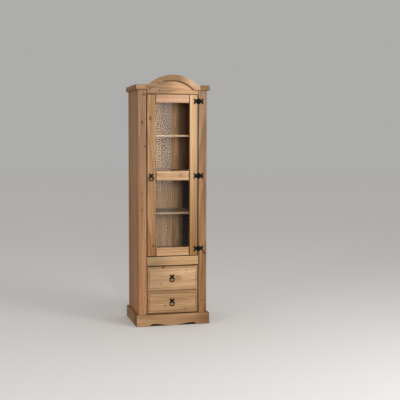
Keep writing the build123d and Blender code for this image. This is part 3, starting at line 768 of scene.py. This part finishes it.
# Pale at the top through a painted sheen, dark at its right edge through painted shade.
pine(
    "door_stile_hinge", "z", "x", 15.9, (213, 177, 135), (154, 111, 67),
    heart=(0.15, 0.1), ring=0.011, contrast=0.6, lean=(1.16, 0.82),
    joint=(1.0, 1.0, 0.5), joint_width=(0.005, 0.012, 0.006), edge=(0.7, 0.8, 0.7),
)
pine(
    "door_rail_top", "x", "z", 16.3, (208, 165, 133), (190, 150, 120),
    heart=(0.12, 0.06), joint=(0.3, 0.6, 1.0), joint_width=(0.003, 0.006, 0.007),
    edge=(0.0, 0.4, 0.0), show=GLASS_HALF,
)
pine(
    "door_rail_middle", "x", "z", 17.7, (202, 165, 127),
    heart=(0.01, 0.05), joint=(0.5, 0.2, 1.0),
    joint_width=(0.003, 0.003, 0.011), show=GLASS_HALF,
    knots=[knot(0.0596, 1.1147, 0.014, 0.3)],
)
pine(
    "door_rail_bottom", "x", "z", 18.8, (194, 152, 112),
    heart=(0.03, 0.05), joint=(1.0, 0.3, 1.0), joint_width=(0.007, 0.003, 0.011),
    edge=(0.8, 0.0, 0.0), show=GLASS_HALF,
)
pine("glazing_beads", "z", "x", 19.4, (190, 152, 112))
print("door boards done")

# %% [markdown]
# ## Inside
# The back, the shelves and the floor are the same pine with less wax on it. The right of the
# back lies in deep shade, so that shade is painted into the last two boards, darker towards that
# corner and on their inner face alone. The drawer boxes are left bare.

# %% Finish the inside
BACK_TONES = [(192, 153, 110), (182, 143, 100), (190, 153, 108)]
BACK_FOOT = 0.955
REAR = {"outside": (184, 146, 104), "nailed": True}
for index, colour in enumerate(BACK_TONES, start=1):
    pine(
        f"back_board_{index}", "z", "x", 20.0 + 1.7 * index, colour,
        [BACK_FOOT * step for step in colour], blend=(-0.35, 0.0), strewn=0.08,
        heart=(0.02 * (index % 3) - 0.02, 0.06), nailed=True,
    )
pine(
    "back_board_4", "z", "x", 26.8, (160, 127, 94), (180, 144, 104),
    blend=(-0.1, 0.4), heart=(0.0, 0.06), joint=(0.5, 0.3, 0.5), **REAR,
)
# Its high side darkens over 55 mm: the painted soft edge of the shade in the corner.
pine(
    "back_board_5", "z", "x", 28.5, (182, 142, 100), (166, 128, 88),
    heart=(0.0, 0.06), joint=(0.0, 0.78, 0.0), joint_width=(0.003, 0.055, 0.003),
    wear_and_highlight=0.0, **REAR,
)
# Toned dark on its inner face: painted shade in the cabinet's right corner.
pine(
    "back_board_6", "z", "x", 30.2, (108, 77, 52), (46, 22, 12),
    blend=(-0.1, 0.6), heart=(0.02, 0.06), joint=(0.5, 0.9, 0.5), **REAR,
)
# The shelves differ in tone as their light does, the lower one darkest: painted shade.
SHELF_TONES = {"lower": (146, 122, 94), "middle": (180, 146, 108), "upper": (186, 158, 130)}
for index, (place, colour) in enumerate(SHELF_TONES.items()):
    pine(f"shelf_{place}", "x", "y", 31.0 + index, colour, stave=0.09, strewn=0.2)
for index, node in enumerate(("display_floor", "base_panel", "top_panel")):
    pine(node, "x", "y", 35.0 + index, (180, 144, 104), stave=0.095, strewn=0.25)
pine("drawer_runners", "y", "z", 39.0, (214, 184, 142))
print("inside boards done")

# %% [markdown]
# ## Drawers
# Each front is two staves glued up, with a raised field. The upper one has the swirl of a
# buried branch beside its pull and a dark knot that runs out through the top bevel.

# %% Finish the drawers
# On both fronts the dark top bevel and the dark edges by the gaps are wax and painted shade.
DRAWER = {"joint_width": (0.008, 0.011, 0.01), "field": 0.021}
UPPER_KNOTS = [
    knot(-0.0708, 0.4381, 0.010),
    knot(-0.0891, 0.3148, 0.004),
    knot(0.1051, 0.4063, 0.0035),
    knot(0.0408, 0.3486, 0.018, 0.25),
]
LOWER_KNOTS = [
    knot(-0.0574, 0.1492, 0.0045),
    knot(0.0961, 0.1178, 0.005),
    knot(-0.1543, 0.1545, 0.003),
]
pine(
    "upper_drawer_front", "x", "z", 41.3, (214, 176, 136), (192, 157, 119),
    blend=(-0.8, 0.3), heart=(0.0, 0.06), stave=0.14, knots=UPPER_KNOTS, **DRAWER,
    joint=(0.3, 1.4, 1.0), edge=(0.4, 0.9, 0.8), bevel=(0.3, 0.8, 0.4),
)
pine(
    "lower_drawer_front", "x", "z", 43.9, (184, 148, 107),
    heart=(0.02, 0.05), stave=0.13, knots=LOWER_KNOTS, **DRAWER,
    joint=(1.0, 0.3, 1.0), edge=(0.9, 0.4, 0.8), bevel=(0.0, 0.6, 0.4),
)
BARE = {"base": (224, 196, 154), "wear_and_highlight": 0.1, "shine": 0.6}
for index, box in enumerate(("upper", "lower")):
    seed = 50.0 + 3 * index
    for side in ("left", "right"):
        pine(f"{box}_drawer_side_{side}", "y", "z", seed, **BARE)
    pine(f"{box}_drawer_back", "x", "z", seed + 1, **BARE)
    pine(f"{box}_drawer_bottom", "x", "y", seed + 2, stave=0.12, **BARE)
print("drawers done")

# %% [markdown]
# ## Black iron
# The hinges and pulls are pressed iron with a black, slightly oily finish. Small dents scatter
# the light, and the finish is thin where fingers rub it.


# %% Make the iron
def iron(name, dents_per_metre):
    material, r = new_material(name)
    place = r.node("ShaderNodeTexCoord").outputs["Object"]
    inputs = {"Vector": place, "Scale": dents_per_metre}
    dents = r.node("ShaderNodeTexVoronoi", inputs, feature="SMOOTH_F1")
    cloud = r.noise(place, (60.0, 60.0, 60.0), 3.0)
    rubbed = r.smooth(cloud, 0.5, 0.75)
    look = {
        "Base Color": r.mix(rubbed, tone(7, 7, 7), tone(25, 28, 28)),
        "Metallic": r.smooth(cloud, 0.45, 0.8, 0.3, 0.8),
        "Roughness": r.smooth(cloud, 0.3, 0.7, 0.46, 0.34),
        "Specular IOR Level": 0.16,
    }
    coat(r, look, dents.outputs["Distance"], 0.0006, 0.5)
    return material


BLACK_IRON = iron("black_iron", 260.0)
IRON_WORDS = ("hinge_leaves", "hinge_pins", "hinge_screws", "pull_plate", "pull_ring")
iron_nodes = [node for node in nodes if any(word in node for word in IRON_WORDS)]
for node in iron_nodes:
    paint(node, BLACK_IRON)
print("iron on", len(iron_nodes), "parts")

# %% [markdown]
# ## Glass, steel and plastic
# Real glass bends light, and a renderer finds lamps badly through it, so the shader lets
# shadow rays pass as if it weren't there. The camera and the mirror images still see glass.


# %% Make the small finishes
PANE_TINT = (0.95, 0.965, 0.955, 1.0)
PANE_SHADE = (0.93, 0.94, 0.935, 1.0)


def glass():
    material, r = new_material("glass")
    look = {"Base Color": PANE_TINT, "Roughness": 0.0, "IOR": 1.2, "Transmission Weight": 1.0}
    shader = r.node("ShaderNodeBsdfPrincipled", look)
    clear = r.node("ShaderNodeBsdfTransparent", {"Color": PANE_SHADE})
    shadow = r.node("ShaderNodeLightPath").outputs["Is Shadow Ray"]
    mixed = r.node("ShaderNodeMixShader", {0: shadow, 1: shader.outputs[0], 2: clear.outputs[0]})
    close_material(r, mixed.outputs[0])
    return material


def plain_finish(name, colour, roughness, metallic=0.0, stretch=(300.0, 300.0, 300.0)):
    """A small part's finish: one colour, faintly clouded, with a fine rough surface."""
    material, r = new_material(name)
    place = r.node("ShaderNodeTexCoord").outputs["Object"]
    cloud = r.noise(place, stretch, 3.0)
    look = {
        "Base Color": r.darken(colour, r.smooth(cloud, 0.2, 0.8, 0.88, 1.08)),
        "Metallic": metallic,
        "Roughness": r.smooth(cloud, 0.2, 0.8, roughness - 0.06, roughness + 0.06),
    }
    coat(r, look, cloud, 0.0001, 0.4)
    return material


PANE = glass()
STEEL = plain_finish("plated_steel", tone(196, 198, 200), 0.3, 1.0, (900.0, 900.0, 60.0))
PLASTIC = plain_finish("catch_plastic", tone(92, 62, 40), 0.5)
for node in ("glass_lower", "glass_upper"):
    paint(node, PANE)
for node in ("shelf_pins", "catch_plate"):
    paint(node, STEEL)
paint("catch_body", PLASTIC)
print("small finishes:", PANE.name, STEEL.name, PLASTIC.name)

# %% [markdown]
# ## Screws, nuts and brads
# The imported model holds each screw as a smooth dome. Here the domes get their cross slots, the
# pulls get hexagonal nuts on their shanks, and brads pin the glazing beads. Each kind is one
# tree of Geometry Nodes that sets the same small shape on every point it is given.


# %% Describe the small shapes
def shifted(r, shape, **move):
    """A shape moved or stretched."""
    return r.node("GeometryNodeTransform", {"Geometry": shape} | move).outputs[0]


def rod_part(r, radius, low, high, sides=24):
    """A closed rod along Z between two heights."""
    length = r.math("SUBTRACT", high, low)
    inputs = {"Vertices": sides, "Radius": radius, "Depth": length}
    rod = r.node("GeometryNodeMeshCylinder", inputs).outputs["Mesh"]
    middle = r.math("ADD", low, r.times(length, 0.5))
    return shifted(r, rod, Translation=r.join(0.0, 0.0, middle))


def round_part(r, radius, height):
    """A dome as wide as the radius and as tall as the height, with its twin below."""
    inputs = {"Segments": 28, "Rings": 14, "Radius": 1.0}
    ball = r.node("GeometryNodeMeshUVSphere", inputs).outputs["Mesh"]
    return shifted(r, ball, Scale=r.join(radius, radius, height))


def slot_part(r, length, width, top, depth):
    """The block that a screw's slot is cut with."""
    size = r.join(length, width, r.times(depth, 2.0))
    block = r.node("GeometryNodeMeshCube", {"Size": size}).outputs["Mesh"]
    return shifted(r, block, Translation=r.join(0.0, 0.0, top))


def cut_part(r, operation, first, *others):
    """One shape less the others, or what they have in common."""
    made = r.node("GeometryNodeMeshBoolean", operation=operation)
    r.put(made.inputs["Mesh 1" if operation == "DIFFERENCE" else "Mesh 2"], first)
    for other in others:
        r.put(made.inputs["Mesh 2"], other)
    return made.outputs["Mesh"]


def join_parts(r, *parts):
    made = r.node("GeometryNodeJoinGeometry")
    for part in parts:
        r.put(made.inputs[0], part)
    return made.outputs[0]


def draw_screw(r, given):
    """A domed head with a cross cut in it, on a plain shank."""
    head = round_part(r, given["Head Radius"], given["Head Height"])
    length = r.times(given["Head Radius"], 1.15)
    sizes = given["Head Height"], given["Slot Depth"]
    one = slot_part(r, length, given["Slot Width"], *sizes)
    other = slot_part(r, given["Slot Width"], length, *sizes)
    head = cut_part(r, "DIFFERENCE", head, one, other)
    foot = r.times(given["Shank Length"], -1.0)
    return join_parts(r, head, rod_part(r, given["Shank Radius"], foot, 0.0)), given["Geometry"]


def draw_nut(r, given):
    """A hexagon with its corners rounded off by a dome, and the end of the bolt in it."""
    hexagon = rod_part(r, given["Nut Radius"], 0.0, given["Nut Height"], sides=6)
    dome_height = r.times(given["Nut Height"], 2.1)
    dome = round_part(r, r.times(given["Nut Radius"], 1.04), dome_height)
    nut = cut_part(r, "INTERSECT", hexagon, dome)
    top = r.math("ADD", given["Nut Height"], given["Bolt Stub"])
    stub = rod_part(r, given["Bolt Radius"], 0.0003, top)
    return join_parts(r, nut, stub), given["Geometry"]


def draw_brad(r, given):
    """A small round head, and points evenly along each line but not at its ends."""
    lines = r.node("GeometryNodeMeshToCurve", {"Mesh": given["Geometry"]}).outputs[0]
    inputs = {"Curve": lines, "Length": given["Spacing"]}
    steps = r.node("GeometryNodeResampleCurve", inputs, mode="LENGTH")
    ends = r.node("GeometryNodeCurveEndpointSelection").outputs[0]
    inputs = {"Geometry": steps.outputs[0], "Selection": ends}
    inner = r.node("GeometryNodeDeleteGeometry", inputs)
    points = r.node("GeometryNodeCurveToPoints", {"Curve": inner.outputs[0]})
    return round_part(r, given["Head Radius"], given["Head Height"]), points.outputs[0]


def shape_tree(name, draw, material, tilt, sizes):
    """A tree that draws a shape and sets it on points, each spun by chance, as plain mesh."""
    facing = {"Facing": Vector((math.radians(tilt), 0.0, 0.0))}
    inputs, outputs = {"Geometry": None} | sizes | facing, {"Geometry": GEOMETRY}
    tree, r, given, result = node_group(name, inputs, outputs, "GeometryNodeTree")
    shape, points = draw(r, given)
    spin = r.node("FunctionNodeRandomValue", {"Seed": SPIN_SEED, 3: 3.0}, data_type="FLOAT")
    inputs = {"Points": points, "Instance": shape, "Rotation": given["Facing"]}
    placed = r.node("GeometryNodeInstanceOnPoints", inputs)
    about = r.join(0.0, 0.0, spin.outputs[1])
    inputs = {"Instances": placed.outputs[0], "Rotation": about}
    turned = r.node("GeometryNodeRotateInstances", inputs)
    real = r.node("GeometryNodeRealizeInstances", {"Geometry": turned.outputs[0]})
    inputs = {"Geometry": real.outputs[0], "Material": material}
    painted = r.node("GeometryNodeSetMaterial", inputs)
    r.put(result["Geometry"], painted.outputs[0])
    return tree


SPIN_SEED = 4
SCREW_SIZES = {
    "Head Radius": 0.0028, "Head Height": 0.0015, "Slot Width": 0.0008, "Slot Depth": 0.0007,
    "Shank Radius": 0.0015, "Shank Length": 0.014,
}
NUT_SIZES = {"Nut Radius": 0.0058, "Nut Height": 0.003, "Bolt Radius": 0.002, "Bolt Stub": 0.0012}
BRAD_SIZES = {"Spacing": 0.11, "Head Radius": 0.0009, "Head Height": 0.0003}
SCREWS = shape_tree("cross_head_screws", draw_screw, BLACK_IRON, 90, SCREW_SIZES)
NUTS = shape_tree("hexagon_nuts", draw_nut, STEEL, -90, NUT_SIZES)
BRADS = shape_tree("bead_brads", draw_brad, STEEL, -90, BRAD_SIZES)
print("small shapes:", SCREWS.name, NUTS.name, BRADS.name)


# %% Set the small shapes in place
def blank(name, places, lines=()):
    """An object that is only points and lines, for a tree to set things on."""
    mesh = bpy.data.meshes.new(name)
    mesh.from_pydata(places, lines, [])
    return add_object(name, mesh)


def grow(name, tree, bare, sizes=None):
    """Runs a tree on a bare object and hands back plain mesh at the origin."""
    modifier = bare.modifiers.new("shapes", "NODES")
    modifier.node_group = tree
    sockets = {
        item.name: item.identifier
        for item in tree.interface.items_tree
        if item.in_out == "INPUT"
    }
    for label, value in (sizes or {}).items():
        modifier[sockets[label]] = value
    view = bpy.context.evaluated_depsgraph_get()
    mesh = bpy.data.meshes.new_from_object(bare.evaluated_get(view))
    bare.modifiers.remove(modifier)
    bpy.data.objects.remove(bare)
    return add_object(name, mesh)


def attach(piece, body, slot, *replaced):
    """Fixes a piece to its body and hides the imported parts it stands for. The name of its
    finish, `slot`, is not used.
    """
    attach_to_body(piece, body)
    if replaced:
        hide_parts(*replaced)


HINGE_HEIGHTS = (0.5685, 1.1105, 1.6595)
HINGE_LINE = 0.1955
SCREW_SPREAD = 0.029
SCREW_HALF_RISE = 0.0125
SCREW_HEAD = 0.0015
CATCH_SCREW_SPREAD = 0.013
PULL_PLATE_RISE = 0.017
PULLED = ("door", "upper_drawer", "lower_drawer")

screw_heights = [
    height + rise for height in HINGE_HEIGHTS for rise in (-SCREW_HALF_RISE, SCREW_HALF_RISE)
]
for node, side, body in (("post", 1, "carcass"), ("door", -1, "door")):
    leaf_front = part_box(f"hinge_screws_{node}")[0].y + SCREW_HEAD
    places = [(HINGE_LINE + side * SCREW_SPREAD, leaf_front, height) for height in screw_heights]
    screws = grow(f"hinge_screws_{node}_slotted", SCREWS, blank(node, places))
    attach(screws, body, "black_iron", f"hinge_screws_{node}")
    print(screws.name, "holds", len(places), "screws,", len(screws.data.polygons), "faces")

low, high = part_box("catch_body")
middle = (low + high) / 2
places = [(middle.x + side * CATCH_SCREW_SPREAD, middle.y, high.z) for side in (-1, 1)]
sizes = {"Facing": (0.0, 0.0, 0.0), "Shank Length": 0.012, "Head Height": 0.0012}
catch_screws = grow("catch_screws", SCREWS, blank("catch", places), sizes)
attach(catch_screws, "carcass", "black_iron")

for body in PULLED:
    low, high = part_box(f"{body}_pull_plate")
    place = ((low.x + high.x) / 2, high.y, high.z - PULL_PLATE_RISE)
    attach(grow(f"{body}_pull_nut", NUTS, blank(body, [place])), body, "plated_steel")
print("nuts on the three pulls")

# %% Pin the glazing beads
BEAD_WIDTH = 0.008
GLASS_OPENINGS = ((0.581, 1.079), (1.1465, 1.6475))
_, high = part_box("glazing_beads")
side = high.x - BEAD_WIDTH / 2
ends = []
for bottom, top in GLASS_OPENINGS:
    foot, head = bottom - BEAD_WIDTH / 2, top + BEAD_WIDTH / 2
    for x in (-side, side):
        ends += [(x, high.y, foot), (x, high.y, head)]
    for z in (foot, head):
        ends += [(-side, high.y, z), (side, high.y, z)]
bead_lines = [(start, start + 1) for start in range(0, len(ends), 2)]
brads = grow("bead_brads", BRADS, blank("beads", ends, bead_lines))
attach(brads, "door", "plated_steel")
print("bead lines:", len(bead_lines), "brad faces:", len(brads.data.polygons))

# %% [markdown]
# ## Softened iron
# Pressed iron has no sharp edge. The leaves and the pull plates are copied from the packed
# model and their edges are eased, which gives each one a thin line of light. The rings are
# forged: slim where they hang in the eye and stout at the bottom, where a finger pulls.


# %% Ease the edges of the iron
SHARP = math.radians(38)
FLAT = math.radians(0.5)
EASED_WIDTH = 0.0004


def iron_piece(name, shape):
    """Makes a piece of black iron from a worked shape."""
    bmesh.ops.recalc_face_normals(shape, faces=shape.faces)
    mesh = bpy.data.meshes.new(name)
    shape.to_mesh(mesh)
    shape.free()
    mesh.materials.append(BLACK_IRON)
    return add_object(name, mesh)


def eased_copy(node):
    """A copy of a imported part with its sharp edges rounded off."""
    shape = bmesh.new()
    shape.from_mesh(nodes[node].data)
    shape.transform(nodes[node].matrix_world)
    bmesh.ops.remove_doubles(shape, verts=shape.verts, dist=1e-6)
    bmesh.ops.dissolve_limit(
        shape, angle_limit=FLAT, verts=shape.verts, edges=shape.edges, delimit={"NORMAL"}
    )
    edges = [e for e in shape.edges if e.is_manifold and e.calc_face_angle() > SHARP]
    bmesh.ops.bevel(
        shape, geom=edges, offset=EASED_WIDTH, segments=2, profile=0.6, affect="EDGES",
        clamp_overlap=True,
    )
    return iron_piece(f"{node}_eased", shape)


EASED = {"hinge_leaves_post": "carcass", "hinge_leaves_door": "door"}
EASED |= {f"{body}_pull_plate": body for body in PULLED}
for node, body in EASED.items():
    piece = eased_copy(node)
    attach(piece, body, "black_iron", node)
    print(piece.name, "faces:", len(piece.data.polygons))


# %% Forge the rings
def forged_ring(name, centre, radius, slim, stout, steps=72, sides=16):
    """A hanging ring whose wire swells from slim at the top to stout at the bottom."""
    shape = bmesh.new()
    loops = []
    for step in range(steps):
        angle = 2 * math.pi * step / steps
        wire = slim + (stout - slim) * (1 - math.cos(angle)) / 2
        outward = Vector((math.sin(angle), 0.0, math.cos(angle)))
        core = centre + outward * (radius - wire)
        loop = []
        for side in range(sides):
            turn = 2 * math.pi * side / sides
            offset = outward * math.cos(turn) + Vector((0.0, math.sin(turn), 0.0))
            loop.append(shape.verts.new(core + offset * wire))
        loops.append(loop)
    for step in range(steps):
        near, far = loops[step], loops[(step + 1) % steps]
        for side in range(sides):
            after = (side + 1) % sides
            face = shape.faces.new((near[side], near[after], far[after], far[side]))
            face.smooth = True
    return iron_piece(name, shape)


SLIM_SHARE = 0.88
for body in PULLED:
    node = f"{body}_pull_ring"
    low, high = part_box(node)
    middle, radius = (low + high) / 2, (high.z - low.z) / 2
    wire = (high.y - low.y) / 2
    ring = forged_ring(f"{node}_forged", middle, radius, wire * SLIM_SHARE, wire)
    attach(ring, f"{body}_ring", "black_iron", node)
print("rings forged:", round(radius * 2, 4), "wide")

# %% [markdown]
# ## Floor, world and lamps
# A plain pale floor takes the shadow, and a darker shadow is painted on it under the cabinet.
# Most of the light comes softly from the front, a little left of the middle, and it reaches
# through the glass to all but the right edge of the back. A second lamp stands to the left for
# the side and the domes of the hinges, and a tall narrow one on the right shows as a quiet veil
# in the left half of the glass.


# %% Light the scene
def soft_lamp(name, place, aim, size, power, colour=(1.0, 1.0, 1.0)):
    lamp = bpy.data.lights.new(name, "AREA")
    lamp.shape = "RECTANGLE"
    lamp.size, lamp.size_y = size
    lamp.energy = power
    lamp.color = colour
    made = add_object(name, lamp)
    made.location = place
    made.rotation_euler = (Vector(aim) - Vector(place)).to_track_quat("-Z", "Y").to_euler()
    return made


def fade_lamp(lamp, fade_from, dim_foot):
    """Dims a lamp softly towards its right edge as seen from the cabinet, and at its foot."""
    lamp.data.use_nodes = True
    lamp.data.node_tree.nodes.clear()
    r = Recipe(lamp.data.node_tree)
    across, up, _ = r.split(r.node("ShaderNodeNewGeometry").outputs["Parametric"])
    edge = r.smooth(across, fade_from, 1.0, 1.0, 0.0)
    rise = r.smooth(up, 0.35, 0.65, dim_foot, 1.0)
    glow = r.node("ShaderNodeEmission", {"Strength": r.times(edge, rise)})
    r.put(r.node("ShaderNodeOutputLight").inputs["Surface"], glow.outputs[0])


soft_lamp("studio_lamp", (-0.62, -6.6, 1.9), (0.0, -0.2, 1.0), (0.5, 0.9), 98.0, (1.0, 0.98, 0.95))
soft_lamp("window_lamp", (2.5, -3.3, 2.6), (0.0, -0.2, 1.1), (1.6, 1.6), 62.0)
soft_lamp("left_lamp", (-4.2, -3.4, 2.0), (0.0, -0.2, 1.1), (0.7, 0.9), 30.0, (0.97, 0.99, 1.0))
veil_lamp = soft_lamp(
    "veil_lamp", (0.835, -4.5, 0.93), (0.835, 0.0, 0.93), (0.27, 1.84), 12.5, (1.0, 0.93, 0.88)
)
fade_lamp(veil_lamp, 0.86, 0.35)


WORLD_TONE = (1.0, 0.99, 0.975, 1.0)


def pale_world():
    """A pale grey room, brighter overhead, with a dark doorway behind the camera."""
    world = bpy.data.worlds.new("pale_world")
    world.use_nodes = True
    world.node_tree.nodes.clear()
    r = Recipe(world.node_tree)
    way = r.node("ShaderNodeTexCoord").outputs["Generated"]
    overhead = r.smooth(r.split(way)[2], 0.1, 0.95, 0.0, 0.16)
    doorway = r.vector("DOT_PRODUCT", way, Vector((0.22, -0.975, -0.02)).normalized())
    gloom = r.smooth(doorway, math.cos(0.5), math.cos(0.25), 1.0, 0.2)
    strength = r.times(r.math("ADD", overhead, 0.42), gloom)
    light = r.node("ShaderNodeBackground", {"Color": WORLD_TONE, "Strength": strength})
    r.put(r.node("ShaderNodeOutputWorld").inputs["Surface"], light.outputs[0])
    scene.world = world


PALE_FLOOR = (0.8, 0.79, 0.775, 1.0)
FLOOR_SHADOW_TONE = (0.05, 0.035, 0.025, 1.0)
FLOOR_RADIUS = 30.0
SHADE_ACROSS = (0.252, 0.27)
SHADE_DEEP = (0.195, 0.212)


def pale_floor():
    """A pale floor, with a shadow painted dark under the cabinet, where no light comes."""
    mesh = bpy.data.meshes.new("floor")
    shape = bmesh.new()
    bmesh.ops.create_circle(shape, cap_ends=True, segments=64, radius=FLOOR_RADIUS)
    shape.to_mesh(mesh)
    shape.free()
    floor = add_object("floor", mesh)
    material, r = new_material("pale_floor")
    shader = r.node("ShaderNodeBsdfPrincipled", {"Roughness": 0.85, "Specular IOR Level": 0.1})
    x, y, _ = r.split(r.node("ShaderNodeTexCoord").outputs["Object"])
    beside = r.smooth(r.math("ABSOLUTE", x), *SHADE_ACROSS, 1.0, 0.0)
    before = r.smooth(r.math("ABSOLUTE", y), *SHADE_DEEP, 1.0, 0.0)
    under = r.times(beside, before)
    r.put(shader.inputs["Base Color"], r.mix(under, PALE_FLOOR, FLOOR_SHADOW_TONE))
    close_material(r, shader.outputs[0])
    mesh.materials.append(material)
    floor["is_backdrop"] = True


pale_world()
pale_floor()
scene.view_settings.view_transform = "Standard"

# %% Measure and finish
low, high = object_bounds()
print("size:", [round(side, 4) for side in high - low])
